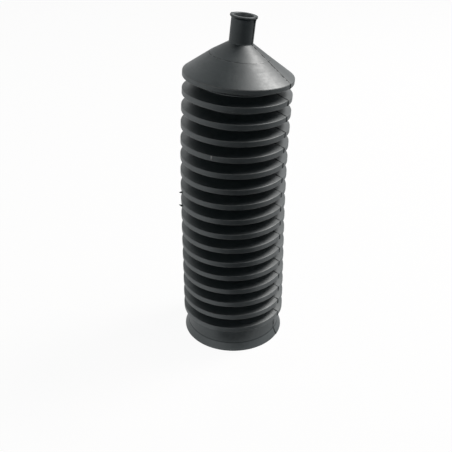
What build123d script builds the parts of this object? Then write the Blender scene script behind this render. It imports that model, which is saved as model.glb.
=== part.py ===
from build123d import *
import os

# Rubber bellows boot, moulded in one piece, in millimetres, +Z up.
# It stands on its big end, and its top folds lean a little towards +X, as soft rubber does.
# The origin is the middle of the big end's mouth.

# Collar at the big end: a clamp seat over a flared lip
collar_bore = 52.0
collar_wall = 1.5
seat_width = 9.0  # takes a 9 mm band clamp
lip_overhang = 2.25  # the foot of the lip stands out past the seat
lip_height = 4.6
lip_wall = 1.75  # at the foot, where the bore widens to start over its housing
lead_in_height = 3.0

# Bellows: flat crest bands with V grooves between them
crest_count = 17  # the top one is the rim of the cone
pitch = 8.85  # from crest to crest
crest_width = 2.9  # flat band round each crest
rim_width = 2.7  # the same band on the rim of the cone
crest_overhang = 2.5  # the bottom crest stands out past the seat
bellows_taper = 2.3  # taken off the diameter from the bottom crest to the top one
groove_depth = 9.0  # from the crest band to the root of the groove
crest_wall = 1.2  # behind the crest band
crest_land = 0.8  # narrow flat inside each crest
root_wall = 2.8  # measured towards the axis, about 1 mm square to the flank

# Cone and neck at the small end
cone_height = 15.5  # from the rim to the foot of the neck
cone_wall = 1.6  # square to the cone's face
neck_bore = 10.0
neck_wall = 1.2
neck_length = 13.5  # from the cone to the mouth
neck_fillet = 0.8  # where the neck meets the cone
bead_overhang = 0.75  # the bead at the mouth stands out past the neck
bead_width = 0.8
bead_bevel = 0.7  # height of the bevel under the bead

# Lean: the top crests tilt one after another
lean = 5.6  # degrees, from the collar's axis to the neck's
leaning_crests = 6  # counted down from the rim

# Radii that follow from the sizes above
seat_radius = collar_bore / 2 + collar_wall
lip_radius = seat_radius + lip_overhang
bottom_crest_radius = seat_radius + crest_overhang
top_crest_radius = bottom_crest_radius - bellows_taper / 2
neck_radius = neck_bore / 2 + neck_wall
bead_radius = neck_radius + bead_overhang

# Heights that follow from the sizes above, on the boot as moulded
half_groove = (pitch - crest_width) / 2
flank_rise = half_groove / groove_depth  # axial rise per millimetre of radius
seat_top = lip_height + seat_width
first_crest = seat_top + crest_overhang * flank_rise
rim_bottom = first_crest + (crest_count - 1) * pitch
rim_top = rim_bottom + rim_width
neck_foot = rim_top + cone_height
mouth = neck_foot + neck_length
bead_bottom = mouth - bead_width

# The inner face of the cone, parallel to the outer one
cone_slope = cone_height / (top_crest_radius - neck_radius)
cone_drop = cone_wall * (1 + cone_slope**2) ** 0.5  # the wall measured straight down

def crest_radius(crest):
    """Radius of a crest band, crest 0 being the lowest."""
    return bottom_crest_radius - crest * bellows_taper / 2 / (crest_count - 1)

def groove_root(crest):
    """Radius at the root of the groove above a crest."""
    return crest_radius(crest + 0.5) - groove_depth

def under_cone(radius):
    """Height of the cone's inner face at a radius."""
    return rim_top + (top_crest_radius - radius) * cone_slope - cone_drop

def land_middle(crest):
    """Height of the middle of the flat inside a crest; the rim's flat ends at the cone."""
    if crest == crest_count - 1:
        return under_cone(top_crest_radius - crest_wall) - crest_land / 2
    return first_crest + crest * pitch + crest_width / 2

# Outside, from the lip up to the mouth
outside = [(lip_radius, 0), (seat_radius, lip_height), (seat_radius, seat_top)]
for crest in range(crest_count - 1):
    band_bottom = first_crest + crest * pitch
    band_top = band_bottom + crest_width
    outside += [(crest_radius(crest), band_bottom), (crest_radius(crest), band_top)]
    outside += [(groove_root(crest), band_top + half_groove)]
outside += [(top_crest_radius, rim_bottom), (top_crest_radius, rim_top), (neck_radius, neck_foot)]
outside += [(neck_radius, bead_bottom - bead_bevel), (bead_radius, bead_bottom), (bead_radius, mouth)]

# Inside, from the mouth down to the lip
inside = [(neck_bore / 2, mouth), (neck_bore / 2, under_cone(neck_bore / 2))]
for crest in reversed(range(crest_count)):
    land_radius = crest_radius(crest) - crest_wall
    inside += [(land_radius, land_middle(crest) + crest_land / 2)]
    inside += [(land_radius, land_middle(crest) - crest_land / 2)]
    if crest > 0:
        inside += [(groove_root(crest - 1) - root_wall, land_middle(crest - 1) + pitch / 2)]
inside += [(collar_bore / 2, seat_top), (collar_bore / 2, lead_in_height), (lip_radius - lip_wall, 0)]

# The boot as moulded, straight
with BuildPart() as moulded:
    with BuildSketch(Plane.XZ) as wall:
        with BuildLine():
            Polyline(*outside, *inside, close=True)
        make_face()
        fillet(wall.vertices().sort_by_distance((neck_radius, neck_foot))[0], neck_fillet)
    revolve(axis=Axis.Z)

# The boot as it stands. What is above a leaning crest's middle turns by one step, about +Y.
# Both sides are cut half a step off square, so the two halves of the band meet all round.
lean_step = lean / leaning_crests
bellows_boot = moulded
for crest in reversed(range(crest_count - leaning_crests, crest_count)):
    square_cut = Plane((0, 0, land_middle(crest)))
    with BuildPart() as below:
        add(moulded.part)
        split(bisect_by=square_cut.rotated((0, lean_step / 2, 0)), keep=Keep.BOTTOM)
    with BuildPart() as above:
        add(bellows_boot.part)
        split(bisect_by=square_cut.rotated((0, -lean_step / 2, 0)), keep=Keep.TOP)
    with BuildPart() as bellows_boot:
        add(below.part)
        add(above.part.rotate(Axis(square_cut.origin, (0, 1, 0)), lean_step))

bellows_boot.part.label = "bellows_boot"
os.makedirs("parts", exist_ok=True)
export_step(bellows_boot.part, "parts/bellows_boot.step")
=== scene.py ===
import cmath
import math

import bpy
import numpy as np
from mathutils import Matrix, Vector


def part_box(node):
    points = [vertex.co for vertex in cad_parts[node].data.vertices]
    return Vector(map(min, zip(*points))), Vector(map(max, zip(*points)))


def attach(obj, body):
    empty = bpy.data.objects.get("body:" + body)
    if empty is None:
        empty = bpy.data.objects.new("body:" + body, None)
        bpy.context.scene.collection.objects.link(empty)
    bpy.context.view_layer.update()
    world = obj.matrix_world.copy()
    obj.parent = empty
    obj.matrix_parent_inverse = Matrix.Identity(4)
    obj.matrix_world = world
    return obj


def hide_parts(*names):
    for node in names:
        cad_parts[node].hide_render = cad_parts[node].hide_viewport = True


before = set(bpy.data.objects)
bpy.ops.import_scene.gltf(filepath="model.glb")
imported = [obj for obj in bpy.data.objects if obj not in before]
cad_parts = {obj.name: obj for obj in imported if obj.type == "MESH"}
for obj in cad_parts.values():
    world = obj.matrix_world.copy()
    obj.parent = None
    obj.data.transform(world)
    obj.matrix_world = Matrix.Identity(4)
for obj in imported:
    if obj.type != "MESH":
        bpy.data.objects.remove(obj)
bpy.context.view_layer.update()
bootLow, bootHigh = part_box("bellows_boot")
print("frame loaded, the boot stands", round(1000 * bootHigh.z, 1), "mm tall")

# Lengths are in metres and angles in degrees. An azimuth is counted from +X towards +Y.


class Wire:  # a shader socket that takes part in ordinary arithmetic
    def __init__(self, shader, socket):
        self.shader = shader
        self.socket = socket

    def __add__(self, other):
        return self.shader.calc("ADD", self, other)

    def __radd__(self, other):
        return self.shader.calc("ADD", other, self)

    def __sub__(self, other):
        return self.shader.calc("SUBTRACT", self, other)

    def __rsub__(self, other):
        return self.shader.calc("SUBTRACT", other, self)

    def __mul__(self, other):
        return self.shader.calc("MULTIPLY", self, other)

    def __rmul__(self, other):
        return self.shader.calc("MULTIPLY", other, self)


class Shader:  # the node tree of a material or world
    def __init__(self, owner):
        owner.use_nodes = True
        self.tree = owner.node_tree
        self.tree.nodes.clear()

    def node(self, kind, settings=None, inputs=None, output=0):
        made = self.tree.nodes.new(kind)
        for name, value in (settings or {}).items():
            setattr(made, name, value)
        for name, value in (inputs or {}).items():
            if isinstance(value, Wire):
                self.tree.links.new(value.socket, made.inputs[name])
            else:
                made.inputs[name].default_value = value
        return Wire(self, made.outputs[output]) if made.outputs else made

    def calc(self, operation, first, second):
        return self.node("ShaderNodeMath", {"operation": operation}, {0: first, 1: second})

    def mixColour(self, factor, first, second):  # 6, 7 and 2 are the node's colour sockets
        return self.node("ShaderNodeMix", {"data_type": "RGBA"}, {0: factor, 6: first, 7: second}, 2)

    def noise(self, place, scale, detail):
        values = {"Vector": place, "Scale": scale, "Detail": detail}
        return self.node("ShaderNodeTexNoise", None, values)

    def streaks(self, place, stretch, detail):
        factors = {0: place, 1: stretch}
        stretched = self.node("ShaderNodeVectorMath", {"operation": "MULTIPLY"}, factors)
        return self.noise(stretched, 1.0, detail)

    def fade(self, value, low, high):  # 0 below low, 1 above high, smooth between
        settings = {"interpolation_type": "SMOOTHSTEP"}
        values = {"Value": value, "From Min": low, "From Max": high}
        return self.node("ShaderNodeMapRange", settings, values)


def plainGrey(value):
    return (value, value, value, 1.0)


boot = {
    "wall": {
        "crests": 17,  # the top one is the rim of the cone
        "pitch": 0.00885,
        "crestWidth": 0.0029,
        "rimWidth": 0.0024,
        "rimLift": 0.0003,  # the rim's band is narrower from below
        "rimFlare": 0.00025,  # and stands a little wide
        "crestOverhang": 0.0025,  # the lowest crest stands out past the clamp seat
        "bellowsTaper": 0.00115,  # the rim is this much smaller in radius than the lowest crest
        "grooveDepth": 0.009,
        "crestBack": 0.0012,  # rubber behind a crest band
        "crestLand": 0.0008,  # narrow flat inside each crest
        "rootBack": 0.0028,  # rubber behind a groove's root
        "seatWidth": 0.009,
        "collarWall": 0.0015,
        "lipHeight": 0.0046,
        "lipOverhang": 0.00225,
        "lipWall": 0.00175,
        "leadIn": 0.003,
        "coneHeight": 0.0155,
        "coneWall": 0.0016,
        "neckBore": 0.005,  # radius
        "neckWall": 0.0012,
        "neckLength": 0.0135,
        "beadOverhang": 0.00075,
        "beadWidth": 0.0008,
        "beadBevel": 0.0007,
    },
    "edges": {  # roundings
        "sharp": 0.00025,
        "crest": 0.00035,
        "rim": 0.0006,
        "root": 0.0005,
        "neckFoot": 0.0008,
        "inside": 0.0005,
        "outerSteps": 3,
        "innerSteps": 2,
        "shoulder": 0.00012,  # a ring this far past each outer rounding keeps the flats flat
    },
    "marks": {
        "seamAzimuth": -27.5,  # the mould opened along this line and the one opposite
        "shift": 0.00018,  # one half stands this far out of line with the other
        "ridge": 0.00012,
        "ridgeWidth": 0.00015,
        "shadeWidth": 0.00042,  # the painted shade along the seam, a dark line
        "creaseWidth": 0.0005,  # the matt line where the lip flares out, painted shade in the crease
        "columns": (0.00005, 0.00012, 0.00022, 0.0004, 0.0009),  # distances from the seam
        "insertRadius": 0.0158,  # a line round the cone where an insert of the mould ended
        "insertGroove": 0.00007,
        "insertWidth": 0.0002,
    },
    "skin": {
        "firstColumn": 3.0,  # degrees from the seam
        "quarterColumns": 37,
        "unevenness": 0.00006,
        "aroundWave": 2,
        "twistHeight": 0.021,
        "upWave": 0.034,
        "coneBulge": 0.0008,  # the cone swells a little
        "bulgeAzimuth": 180.0,
        "bulgeShape": 0.65,  # below 1, the swell is fullest nearer the rim
        "coneDepth": 1.6,  # what lies within this many walls of the cone's face moves with it
    },
    "wearAndShade": {  # how matt the clamps and the mould leave each surface, and the crease made matt as painted shade
        "neckDullness": 0.35,
        "seatDullness": 0.2,
        "coneDullness": (0.08, 0.32),  # at the rim and at the neck's foot
        # the crease is made matt as painted shade
        "creaseShadeDullness": 0.5,
        "fullBend": 15.0,  # an edge that bends this much from facet to facet can be rubbed right through; its pale edge is partly painted highlight
    },
    "bend": {  # the top folds lean over, as soft rubber does
        "start": 0.0173,
        "sway": -0.00913,  # these three grow with the height's second, third and fourth powers
        "lean": 0.01819,
        "ease": -0.00413,
        "neckSlip": -0.00035,  # the neck stands this far off the cone's axis
    },
}


def wallHeights(wall):
    heights = {"seatTop": wall["lipHeight"] + wall["seatWidth"]}
    heights["halfGroove"] = (wall["pitch"] - wall["crestWidth"]) / 2
    flank = wall["crestOverhang"] * heights["halfGroove"] / wall["grooveDepth"]
    heights["firstCrest"] = heights["seatTop"] + flank
    bellows = (wall["crests"] - 1) * wall["pitch"]
    heights["rimBottom"] = heights["firstCrest"] + bellows + wall["rimLift"]
    heights["rimTop"] = heights["rimBottom"] + wall["rimWidth"]
    heights["neckFoot"] = heights["rimTop"] + wall["coneHeight"]
    heights["mouth"] = heights["neckFoot"] + wall["neckLength"]
    return heights


def wallRadii(wall):
    radii = {"lowCrest": bootHigh.y}
    radii["topCrest"] = radii["lowCrest"] - wall["bellowsTaper"] + wall["rimFlare"]
    radii["seat"] = radii["lowCrest"] - wall["crestOverhang"]
    radii["neck"] = wall["neckBore"] + wall["neckWall"]
    radii["bead"] = radii["neck"] + wall["beadOverhang"]
    return radii


bootHeights = wallHeights(boot["wall"])
bootRadii = wallRadii(boot["wall"])


def wallCorners(wall, heights, radii):  # (radius, height, rounding) all round the section
    edges, marks = boot["edges"], boot["marks"]
    slope = wall["coneHeight"] / (radii["topCrest"] - radii["neck"])
    drop = wall["coneWall"] * math.hypot(1, slope)
    sharp, inner = edges["sharp"], edges["inside"]

    def crest(i):
        return radii["lowCrest"] - i * wall["bellowsTaper"] / (wall["crests"] - 1)

    def root(i):
        return crest(i + 0.5) - wall["grooveDepth"]

    def coneTop(radius):
        return heights["rimTop"] + (radii["topCrest"] - radius) * slope

    crease, flare = marks["creaseWidth"], wall["lipOverhang"] / wall["lipHeight"]
    outside = [
        (radii["seat"] + wall["lipOverhang"], bootLow.z, sharp),
        (radii["seat"] + flare * crease, wall["lipHeight"] - crease, 0),
        (radii["seat"], wall["lipHeight"], sharp),
        (radii["seat"], wall["lipHeight"] + crease, 0),
        (radii["seat"], heights["seatTop"], edges["root"])]
    for i in range(wall["crests"] - 1):
        bottom = heights["firstCrest"] + i * wall["pitch"]
        top = bottom + wall["crestWidth"]
        outside += [
            (crest(i), bottom, edges["crest"]),
            (crest(i), top, edges["crest"]),
            (root(i), top + heights["halfGroove"], edges["root"])]
    outside += [
        (radii["topCrest"], heights["rimBottom"], edges["crest"]),
        (radii["topCrest"], heights["rimTop"], edges["rim"])]
    for side in (2, 1, 0, -1, -2):  # the middle ring of the five is the groove's
        radius = marks["insertRadius"] + side * marks["insertWidth"]
        outside += [(radius, coneTop(radius) - (side == 0) * marks["insertGroove"], 0)]
    beadFoot = heights["mouth"] - wall["beadWidth"]
    outside += [
        (radii["neck"], heights["neckFoot"], edges["neckFoot"]),
        (radii["neck"], beadFoot - wall["beadBevel"], sharp),
        (radii["bead"], beadFoot, sharp),
        (radii["bead"], heights["mouth"], sharp)]

    inside = [
        (wall["neckBore"], heights["mouth"], sharp),
        (wall["neckBore"], coneTop(wall["neckBore"]) - drop, inner)]
    for i in reversed(range(wall["crests"])):
        land = crest(i) - wall["crestBack"]
        if i == wall["crests"] - 1:
            landTop = coneTop(land) - drop
        else:
            bottom = heights["firstCrest"] + i * wall["pitch"]
            landTop = bottom + (wall["crestWidth"] + wall["crestLand"]) / 2
        inside += [(land, landTop, sharp), (land, landTop - wall["crestLand"], sharp)]
        if i > 0:
            middle = heights["firstCrest"] + (i - 0.5) * wall["pitch"] + wall["crestWidth"] / 2
            inside += [(root(i - 1) - wall["rootBack"], middle, inner)]
    bore = radii["seat"] - wall["collarWall"]
    inside += [
        (bore, heights["seatTop"], inner),
        (bore, wall["leadIn"], sharp),
        (radii["seat"] + wall["lipOverhang"] - wall["lipWall"], bootLow.z, sharp)]
    return outside, inside


def roundedRings(corners, steps, before, after, shoulder):
    rings = []  # points of the section, each as radius + height * 1j
    places = [complex(*corner[:2]) for corner in [before, *corners, after]]
    for k, (radius, height, rounding) in enumerate(corners, 1):
        if not rounding:
            rings.append(places[k])
            continue
        into = (places[k] - places[k - 1]) / abs(places[k] - places[k - 1])
        out = (places[k + 1] - places[k]) / abs(places[k + 1] - places[k])
        turn = cmath.phase(out / into)
        start = places[k] - into * rounding * abs(math.tan(turn / 2))
        middle = start + into * 1j * math.copysign(rounding, turn)
        arc = [middle + (start - middle) * cmath.exp(1j * turn * n / steps) for n in range(steps + 1)]
        rings += [start - into * shoulder, *arc, arc[-1] + out * shoulder] if shoulder else arc
    return rings


def columnAngles(radius):  # angles from the seam, closer together beside both seams
    columns, skin = boot["marks"]["columns"], boot["skin"]
    near = np.array(columns) / radius  # the same distances on every ring, and the rest make way
    push = near[-1] - columns[-1] / bootHigh.y
    wide = np.radians(np.linspace(skin["firstColumn"], 90, skin["quarterColumns"]))
    wide = wide + push * (1 - wide / wide[-1]) ** 2
    quarter = np.concatenate([near, wide])
    half = np.concatenate([[0], quarter, math.pi - quarter[-2::-1]])
    return np.concatenate([half, half + math.pi])


def standing(radius, height, azimuth):  # where a point of the straight boot is on the leaning one
    bend = boot["bend"]
    sway, lean, ease = bend["sway"], bend["lean"], bend["ease"]
    span = bootHeights["mouth"] - bend["start"]
    up = np.maximum((height - bend["start"]) / span, 0)
    offset = sway * up**2 + lean * up**3 + ease * up**4
    upCone = (height - bootHeights["rimTop"]) / (bootHeights["neckFoot"] - bootHeights["rimTop"])
    offset = offset + bend["neckSlip"] * np.clip(upCone, 0, 1)
    tilt = np.arctan((2 * sway * up + 3 * lean * up**2 + 4 * ease * up**3) / span)
    across = radius * np.cos(azimuth)
    place = [offset + across * np.cos(tilt), radius * np.sin(azimuth), height - across * np.sin(tilt)]
    return np.stack(np.broadcast_arrays(*place), -1)


def fillPoints(mesh, name, kind, values):
    field = "vector" if kind == "FLOAT_VECTOR" else "value"
    values = np.ascontiguousarray(values, "f4").ravel()
    mesh.attributes.new(name, kind, "POINT").data.foreach_set(field, values)


def addPiece(name, mesh):
    mesh.shade_smooth()
    piece = bpy.data.objects.new(name, mesh)
    bpy.context.scene.collection.objects.link(piece)
    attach(piece, "root")
    return piece


def coneShare(rings):  # 0 at the rim to 1 at the neck, and which rings move with the cone
    rim, neck = bootRadii["topCrest"], bootRadii["neck"]
    share = np.clip((rim - rings.real) / (rim - neck), 0, 1)
    face = bootHeights["rimTop"] + share * boot["wall"]["coneHeight"]
    depth = boot["skin"]["coneDepth"] * boot["wall"]["coneWall"]
    return share, rings.imag > face - depth


def seamDistance(rings, angles):  # to the nearer seam, above 0 on the half that is out of line
    turned = np.where(angles < math.pi * 1.5, angles, angles - 2 * math.pi)
    return np.where(turned < math.pi / 2, turned, math.pi - turned) * rings.real[:, None]


def shapeSkin(rings, angles, outer):
    marks, skin = boot["marks"], boot["skin"]
    along = np.roll(rings, -1) - np.roll(rings, 1)
    facing = (-1j * along / abs(along))[:, None]
    fromSeam = seamDistance(rings, angles)
    azimuth = angles + math.radians(marks["seamAzimuth"])
    ridge = marks["ridge"] * np.exp(-((fromSeam / marks["ridgeWidth"]) ** 2)) * outer
    radius = rings.real[:, None] + ridge * facing.real
    height = rings.imag[:, None] + ridge * facing.imag
    height = np.maximum(height, bootLow.z)  # the foot stays flat on the floor
    shifted = np.clip(fromSeam / marks["columns"][0] / 2 + 0.5, 0, 1) * outer
    radius = radius + marks["shift"] * np.cos(angles) * shifted  # one half slides across
    wave = np.sin(skin["aroundWave"] * azimuth + height / skin["twistHeight"])
    radius = radius + skin["unevenness"] * wave * np.sin(height / skin["upWave"])
    share, onCone = coneShare(rings)
    swell = (onCone * np.sin(math.pi * share ** skin["bulgeShape"]))[:, None]
    side = (1 + np.cos(azimuth - math.radians(skin["bulgeAzimuth"]))) / 2
    height = height + skin["coneBulge"] * swell * side
    return radius, height, azimuth


def mouldLineShading(rings, angles, outer):  # the seam, and the line round the cone, painted dark and matt as shade in their step and groove
    marks = boot["marks"]
    shade = np.exp(-((seamDistance(rings, angles) / marks["shadeWidth"]) ** 2)) * outer
    onInsert = abs(rings.real - marks["insertRadius"]) < marks["insertWidth"] / 2
    return np.maximum(shade, outer * (onInsert & (rings.imag > bootHeights["rimTop"]))[:, None])


# convex edges rubbed pale, which also paints their highlight
def wornAndHighlitEdges(rings):
    bend = np.angle((np.roll(rings, -1) - rings) / (rings - np.roll(rings, 1)))
    return np.clip(bend / math.radians(boot["wearAndShade"]["fullBend"]), 0, 1)


def dullness(rings):
    wall, marks, wearAndShade = boot["wall"], boot["marks"], boot["wearAndShade"]
    share, onCone = coneShare(rings)
    onNeck = rings.imag > bootHeights["neckFoot"]
    onSeat = (rings.imag > wall["lipHeight"]) & (rings.imag < bootHeights["seatTop"])
    onSeat = onSeat & np.isclose(rings.real, bootRadii["seat"], rtol=0, atol=1e-5)
    # the crease's matt line is painted shade
    onCrease = abs(rings.imag - wall["lipHeight"]) < marks["creaseWidth"] / 2
    upCone = np.interp(share, (0, 1), wearAndShade["coneDullness"])
    dull = wearAndShade["neckDullness"] * onNeck + wearAndShade["seatDullness"] * onSeat
    dull = dull + upCone * (onCone & ~onNeck & (share > 0))
    return np.maximum(dull, wearAndShade["creaseShadeDullness"] * onCrease)


def makeBoot():
    outside, inside = wallCorners(boot["wall"], bootHeights, bootRadii)
    edges = boot["edges"]
    outerRings = roundedRings(outside, edges["outerSteps"], inside[-1], inside[0], edges["shoulder"])
    innerRings = roundedRings(inside, edges["innerSteps"], outside[-1], outside[0], 0)
    rings = np.array(outerRings + innerRings)
    angles = np.array([columnAngles(ring.real) for ring in rings])
    outer = (np.arange(len(rings)) < len(outerRings))[:, None]
    radius, height, azimuth = shapeSkin(rings, angles, outer)

    count, columns = angles.shape
    ring, column = np.meshgrid(np.arange(count), np.arange(columns), indexing="ij")
    nextRing, nextColumn = (ring + 1) % count, (column + 1) % columns
    quads = np.stack([
        ring * columns + column, ring * columns + nextColumn,
        nextRing * columns + nextColumn, nextRing * columns + column], -1).reshape(-1, 4)
    mesh = bpy.data.meshes.new("bellowsBoot")
    mesh.from_pydata(standing(radius, height, azimuth).reshape(-1, 3), [], quads)

    unrolled = [  # a place on the skin whose height runs along the wall's section
        bootHigh.y * np.cos(azimuth), bootHigh.y * np.sin(azimuth),
        np.cumsum(abs(rings - np.roll(rings, 1)))[:, None]]
    allRound = np.ones(columns)
    fillPoints(mesh, "mouldLineShade", "FLOAT", mouldLineShading(rings, angles, outer))
    fillPoints(mesh, "skinPlace", "FLOAT_VECTOR", np.stack(np.broadcast_arrays(*unrolled), -1))
    fillPoints(mesh, "wornAndHighlitEdge", "FLOAT", wornAndHighlitEdges(rings)[:, None] * outer * allRound)
    fillPoints(mesh, "dullness", "FLOAT", dullness(rings)[:, None] * outer * allRound)
    skin = addPiece("bellows_boot_skin", mesh)
    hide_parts("bellows_boot")
    print("boot wall made of", len(quads), "faces")
    return skin


mouldFlash = {  # wisps of rubber left by the mould
    "sides": 6,
    "taper": ((-0.1, 1.0), (0.4, 0.8), (0.8, 0.4), (1.0, 0.1)),  # (share of the length, of the width)
    "wisps": {  # root is (radius, height) and towards is (outwards, upwards)
        "ninthBand": {
            "root": (0.02935, 0.0938), "azimuth": -165.0, "towards": (1.0, 0.0),
            "length": 0.0016, "width": 0.0011, "pale": 0.0},
        "eighthBand": {
            "root": (0.02943, 0.0855), "azimuth": -165.0, "towards": (1.0, 0.6),
            "length": 0.0020, "width": 0.0012, "pale": 0.0},
        "frontTick": {
            "root": (0.02923, 0.1232), "azimuth": -114.0, "towards": (0.02, -1.0),
            "length": 0.0021, "width": 0.0009, "pale": 1.0},
        "underBead": {
            "root": (0.0066, 0.1867), "azimuth": -27.5, "towards": (-0.15, -1.0),
            "length": 0.0026, "width": 0.0010, "pale": 0.0},
    },
}


def makeFlash():
    points, faces, pale = [], [], []
    sides = mouldFlash["sides"]
    turns = np.linspace(0, 2 * math.pi, sides, endpoint=False)
    for wisp in mouldFlash["wisps"].values():
        root = complex(*wisp["root"])
        direction = complex(*wisp["towards"]) / abs(complex(*wisp["towards"]))
        for along, thickness in mouldFlash["taper"]:
            half = wisp["width"] / 2 * thickness
            ring = root + direction * (along * wisp["length"] + 1j * half * np.sin(turns))
            azimuth = math.radians(wisp["azimuth"]) + half * np.cos(turns) / root.real
            first = len(points)
            points += list(standing(ring.real, ring.imag, azimuth))
            pale += [wisp["pale"]] * sides
            if along > 0:
                steps = [(first + k, first + (k + 1) % sides) for k in range(sides)]
                faces += [(a - sides, b - sides, b, a) for a, b in steps]
            else:
                faces.append(tuple(range(first + sides - 1, first - 1, -1)))
        faces.append(tuple(range(first, first + sides)))
    mesh = bpy.data.meshes.new("mouldFlash")
    mesh.from_pydata(points, [], faces)
    fillPoints(mesh, "palePoint", "FLOAT", pale)
    print("mould flash made of", len(faces), "faces")
    return addPiece("mould_flash", mesh)


skin = makeBoot()
flash = makeFlash()

rubber = {
    "finish": {
        "colour": (0.006, 0.011, 0.013, 1.0),
        "bloomColour": (0.013, 0.019, 0.021, 1.0),  # wax that comes to the surface in soft patches
        # the colour of the mould lines is painted shade, darker than the rubber
        "lineShadeColour": (0.003, 0.004, 0.004, 1.0),
        # rubbed edges and scuffs are this pale; on the edges it is partly painted highlight
        "wornAndHighlitColour": (0.048, 0.052, 0.053, 1.0),
        "dustColour": (0.16, 0.155, 0.145, 1.0),
        "paleColour": (0.70, 0.72, 0.71, 1.0),
        "specularTint": (0.93, 0.99, 1.0, 1.0),
        "roughness": 0.48,
        "specular": 1.0,
        "lineMatt": 0.97,  # how matt a mould line is, which darkens it further as painted shade
        "lineLeast": 0.3,  # how much of a mould line's painted shade shows between its dashes
        "scuffStrength": 0.3,
        "wornPatches": 0.6,  # how far the patches decide where an edge is rubbed pale, partly as painted highlight
        "bloomMottle": 0.3,  # how far the mottle breaks up the bloom
    },
    "noises": {  # how many to a metre, and levels of detail
        "patches": (60.0, 4.0),
        "dents": (75.0, 1.0),
        "mottle": (420.0, 3.0),
        "grain": (2600.0, 3.0),
        "specks": (1300.0, 1.0),
    },
    "streaks": {  # the same round the boot twice, then along its wall's section
        "turning": ((20.0, 20.0, 1800.0), 2.0),
        "scuffs": ((90.0, 90.0, 1100.0), 3.0),
        "dashes": ((150.0, 150.0, 330.0), 2.0),
    },
    "fades": {  # noise values between which a mark fades in
        "bloom": (0.5, 0.85),
        "wornAndHighlit": (0.68, 0.95),
        "scuffs": (0.66, 0.74),
        "scuffPatches": (0.5, 0.62),
        "specks": (0.80, 0.84),
        "speckPatches": (0.5, 0.6),
        "dashes": (0.45, 0.53),
    },
    "relief": {  # depths in millimetres
        "grain": 0.006,
        "turning": 0.011,
        "mottle": 0.03,
        "dents": 0.12,
    },
    "roughening": {  # a noise takes away below its mean, 0.5, and adds above it
        "patches": 0.10,
        "mottle": 0.16,
        "turning": 0.11,
        "wornAndHighlit": 0.06,
        "scuffs": 0.05,
    },
}


def makeRubber():
    material = bpy.data.materials.new("mouldedRubber")
    shader = Shader(material)
    finish = rubber["finish"]

    def painted(name, output="Fac"):
        return shader.node("ShaderNodeAttribute", {"attribute_name": name}, output=output)

    def fade(value, name):
        return shader.fade(value, *rubber["fades"][name])

    place = shader.node("ShaderNodeTexCoord", output="Object")
    skinPlace = painted("skinPlace", "Vector")
    patches, dents, mottle, grain, specks = (
        shader.noise(place, *scaleAndDetail) for scaleAndDetail in rubber["noises"].values())
    turning, scuffs, dashes = (
        shader.streaks(skinPlace, *stretchAndDetail) for stretchAndDetail in rubber["streaks"].values())

    scuffs = fade(scuffs, "scuffs") * fade(patches, "scuffPatches")
    specks = fade(specks, "specks") * fade(mottle, "speckPatches")
    dashed = finish["lineLeast"] + (1 - finish["lineLeast"]) * fade(dashes, "dashes")
    line = painted("mouldLineShade") * dashed
    wornAndHighlit = painted("wornAndHighlitEdge") * fade(mottle + finish["wornPatches"] * patches, "wornAndHighlit")

    bloom = fade(patches + finish["bloomMottle"] * mottle, "bloom")
    colour = shader.mixColour(bloom, finish["colour"], finish["bloomColour"])
    # rubbed edges painted pale, partly as highlight
    colour = shader.mixColour(wornAndHighlit, colour, finish["wornAndHighlitColour"])
    colour = shader.mixColour(finish["scuffStrength"] * scuffs, colour, finish["wornAndHighlitColour"])
    # the mould lines are painted dark as shade
    colour = shader.mixColour(line, colour, finish["lineShadeColour"])
    colour = shader.mixColour(specks, colour, finish["dustColour"])
    colour = shader.mixColour(painted("palePoint"), colour, finish["paleColour"])

    more = rubber["roughening"]
    rough = finish["roughness"] + more["patches"] * (patches - 0.5) + more["mottle"] * (mottle - 0.5)
    rough = rough + more["turning"] * (turning - 0.5) + more["wornAndHighlit"] * wornAndHighlit + more["scuffs"] * scuffs

    deep = rubber["relief"]
    relief = deep["grain"] * grain + deep["turning"] * turning
    relief = relief + deep["mottle"] * mottle + deep["dents"] * dents
    bumps = {"Strength": 1.0, "Distance": 0.001, "Height": relief}  # 0.001 makes a height a millimetre
    bump = shader.node("ShaderNodeBump", None, bumps)

    def surface(gloss):
        return shader.node("ShaderNodeBsdfPrincipled", None, {
            "Base Color": colour, "Roughness": rough, "Normal": bump,
            "Specular Tint": finish["specularTint"], "Specular IOR Level": gloss})

    # the mould lines and the crease are made matt here, which darkens them as painted shade
    factor = shader.calc("MAXIMUM", painted("dullness"), finish["lineMatt"] * line)
    surfaces = {0: factor, 1: surface(finish["specular"]), 2: surface(0.0)}  # the second is matt
    mixed = shader.node("ShaderNodeMixShader", None, surfaces)
    shader.node("ShaderNodeOutputMaterial", None, {"Surface": mixed})
    return material


mouldedRubber = makeRubber()
for piece in (skin, flash):
    piece.data.materials.append(mouldedRubber)
print("rubber ready")

studio = {
    "floorSide": 4.0,
    "floorColour": 0.8,
    "floorShare": 0.95,  # how much of the floor's white shows by itself
    "roomStrength": 0.1,
    "cardColour": 0.01,
}

camera = {
    "place": (-0.0043, -0.3350, 0.2558),
    "pitch": 60.775,
    "lens": 52.59,
}

lamps = {  # softboxes that face the boot; strength is how bright one looks
    "keyBox": {
        "azimuth": 25, "elevation": 48, "distance": 1.3, "size": 0.5,
        "strength": 26.0, "colour": (1.0, 0.935, 0.91)},
    "wideBox": {
        "azimuth": 0, "elevation": 62, "distance": 1.3, "size": 0.8,
        "strength": 3.9, "colour": (1.0, 0.97, 0.95)},
    "lowBox": {
        "azimuth": -130, "elevation": 18, "distance": 1.3, "size": 0.4,
        "strength": 2.0, "colour": (1.0, 0.97, 0.95)},
}

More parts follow.
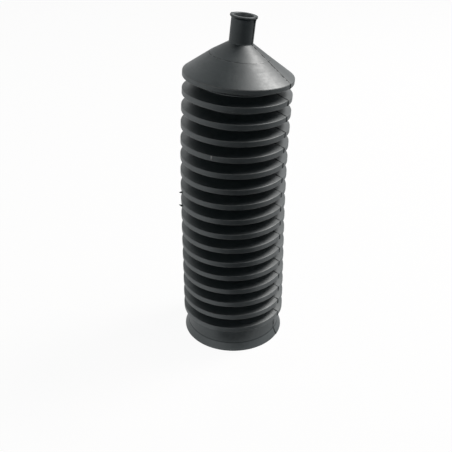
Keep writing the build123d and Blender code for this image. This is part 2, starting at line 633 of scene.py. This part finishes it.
darkBoards = {  # cards that only reflections see: x from and to, then y and height of two edges
    # the foot card is a painted shadow: the floor's contact shade beside the boot, as reflections see
    # it
    "foot": {"sides": (-0.02, 0.035), "near": (-0.033, 0.001), "far": (-0.047, 0.001)},
    "middle": {"sides": (-0.01, 0.07), "near": (-0.060, 0.001), "far": (-0.10, 0.001)},
    "floor": {"sides": (-0.10, 0.35), "near": (-0.09, 0.001), "far": (-0.9, 0.001)},
    "left": {"sides": (-0.9, -0.10), "near": (-0.20, 0.001), "far": (-0.9, 0.001)},
    "right": {"sides": (0.35, 0.9), "near": (0.25, 0.001), "far": (-0.9, 0.001)},
    "front": {"sides": (0.02, 0.16), "near": (-0.45, 0.03), "far": (-0.75, 0.75)},
    "above": {"sides": (-1.5, 1.5), "near": (-1.5, 1.25), "far": (0.2, 1.25)},
}


def makeSheet(name, corners, material):
    mesh = bpy.data.meshes.new(name)
    mesh.from_pydata(corners, [], [(0, 1, 2, 3)])
    mesh.materials.append(material)
    sheet = bpy.data.objects.new(name, mesh)
    bpy.context.scene.collection.objects.link(sheet)
    return sheet


def showsBackdrop(shader):  # 1 for camera, glossy and transmission rays
    def ray(name):
        return shader.node("ShaderNodeLightPath", output=name)

    seen = ray("Is Camera Ray") + ray("Is Glossy Ray") + ray("Is Transmission Ray")
    return shader.calc("MINIMUM", seen, 1.0)


def makeFloor():
    material = bpy.data.materials.new("paleFloor")
    shader = Shader(material)
    cloth = shader.node("ShaderNodeBsdfDiffuse", None, {"Color": plainGrey(studio["floorColour"])})
    white = shader.node("ShaderNodeEmission", None, {"Color": plainGrey(1), "Strength": 1.0})
    factor = showsBackdrop(shader) * studio["floorShare"]
    shown = shader.node("ShaderNodeMixShader", None, {0: factor, 1: cloth, 2: white})
    shader.node("ShaderNodeOutputMaterial", None, {"Surface": shown})
    material.cycles.emission_sampling = "NONE"
    half = studio["floorSide"] / 2
    corners = [(-half, -half, 0), (half, -half, 0), (half, half, 0), (-half, half, 0)]
    makeSheet("studio_floor", corners, material)


def makeDarkBoards():
    material = bpy.data.materials.new("blackCard")
    shader = Shader(material)
    card = shader.node("ShaderNodeBsdfDiffuse", None, {"Color": plainGrey(studio["cardColour"])})
    shader.node("ShaderNodeOutputMaterial", None, {"Surface": card})
    for name, board in darkBoards.items():
        left, right = board["sides"]
        near, far = board["near"], board["far"]
        corners = [(left, *near), (right, *near), (right, *far), (left, *far)]
        sheet = makeSheet(name + "_card", corners, material)
        sheet.visible_camera = False
        sheet.visible_shadow = False


def makeLamp(name, azimuth, elevation, distance, size, strength, colour):
    lamp = bpy.data.lights.new(name, "AREA")
    lamp.shape = "DISK"
    lamp.size = size
    lamp.color = colour
    lamp.energy = strength * (math.pi * size / 2) ** 2  # a disk that looks as bright as its strength
    holder = bpy.data.objects.new(name, lamp)
    turn, rise = math.radians(azimuth), math.radians(elevation)
    away = Vector((math.cos(turn) * math.cos(rise), math.sin(turn) * math.cos(rise), math.sin(rise)))
    holder.location = (bootLow + bootHigh) / 2 + distance * away
    holder.rotation_euler = away.to_track_quat("Z", "Y").to_euler()
    bpy.context.scene.collection.objects.link(holder)


def makeWorld():
    world = bpy.data.worlds.new("whiteRoom")
    bpy.context.scene.world = world
    shader = Shader(world)

    def background(strength):
        return shader.node("ShaderNodeBackground", None, {"Color": plainGrey(1), "Strength": strength})

    room, white = background(studio["roomStrength"]), background(1.0)
    shown = shader.node("ShaderNodeMixShader", None, {0: showsBackdrop(shader), 1: room, 2: white})
    shader.node("ShaderNodeOutputWorld", None, {"Surface": shown})
    world.cycles.sampling_method = "NONE"


def makeCamera():
    lens = bpy.data.cameras.new("camera")
    lens.lens = camera["lens"]
    holder = bpy.data.objects.new("camera", lens)
    holder.location = camera["place"]
    holder.rotation_euler = (math.radians(camera["pitch"]), 0, 0)
    bpy.context.scene.collection.objects.link(holder)
    bpy.context.scene.camera = holder
    bpy.context.scene.view_settings.view_transform = "Standard"


makeFloor()
makeDarkBoards()
for name, lamp in lamps.items():
    makeLamp(name, **lamp)
makeWorld()
makeCamera()
print("studio ready with", len(lamps), "lamps")
